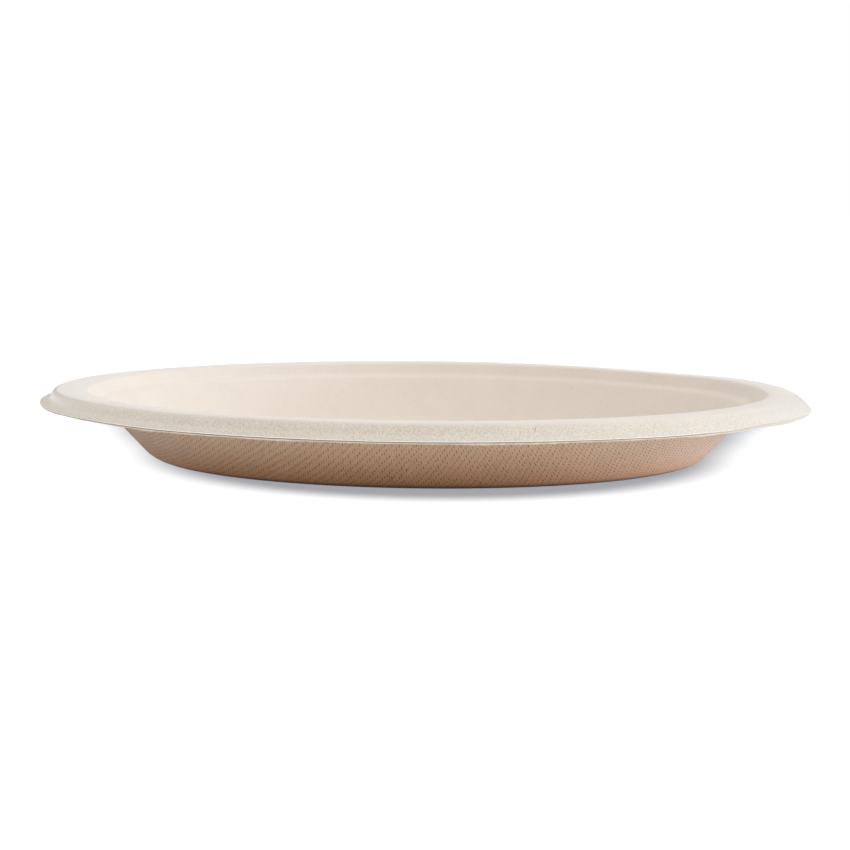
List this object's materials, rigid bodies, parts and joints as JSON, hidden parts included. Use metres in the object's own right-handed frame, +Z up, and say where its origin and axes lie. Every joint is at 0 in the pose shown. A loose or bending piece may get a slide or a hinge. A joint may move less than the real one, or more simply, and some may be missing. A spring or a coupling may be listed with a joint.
{
  "type": "paper plate",
  "caption": "Round disposable dinner plate of moulded plant fibre with a flat floor, sloped wall, stacking ledge and a wide crowned rim.",
  "frame": {"origin": "centre of the flat underside, where the plate stands on the table", "axes": "+Z up, along the axis of the round plate"},
  "size_m": [0.254, 0.254, 0.0229],
  "materials": {
    "pulp": "matte unbleached moulded fibre"
  },
  "bodies": {
    "root": {"plate": "pulp"}
  },
  "joints": []
}
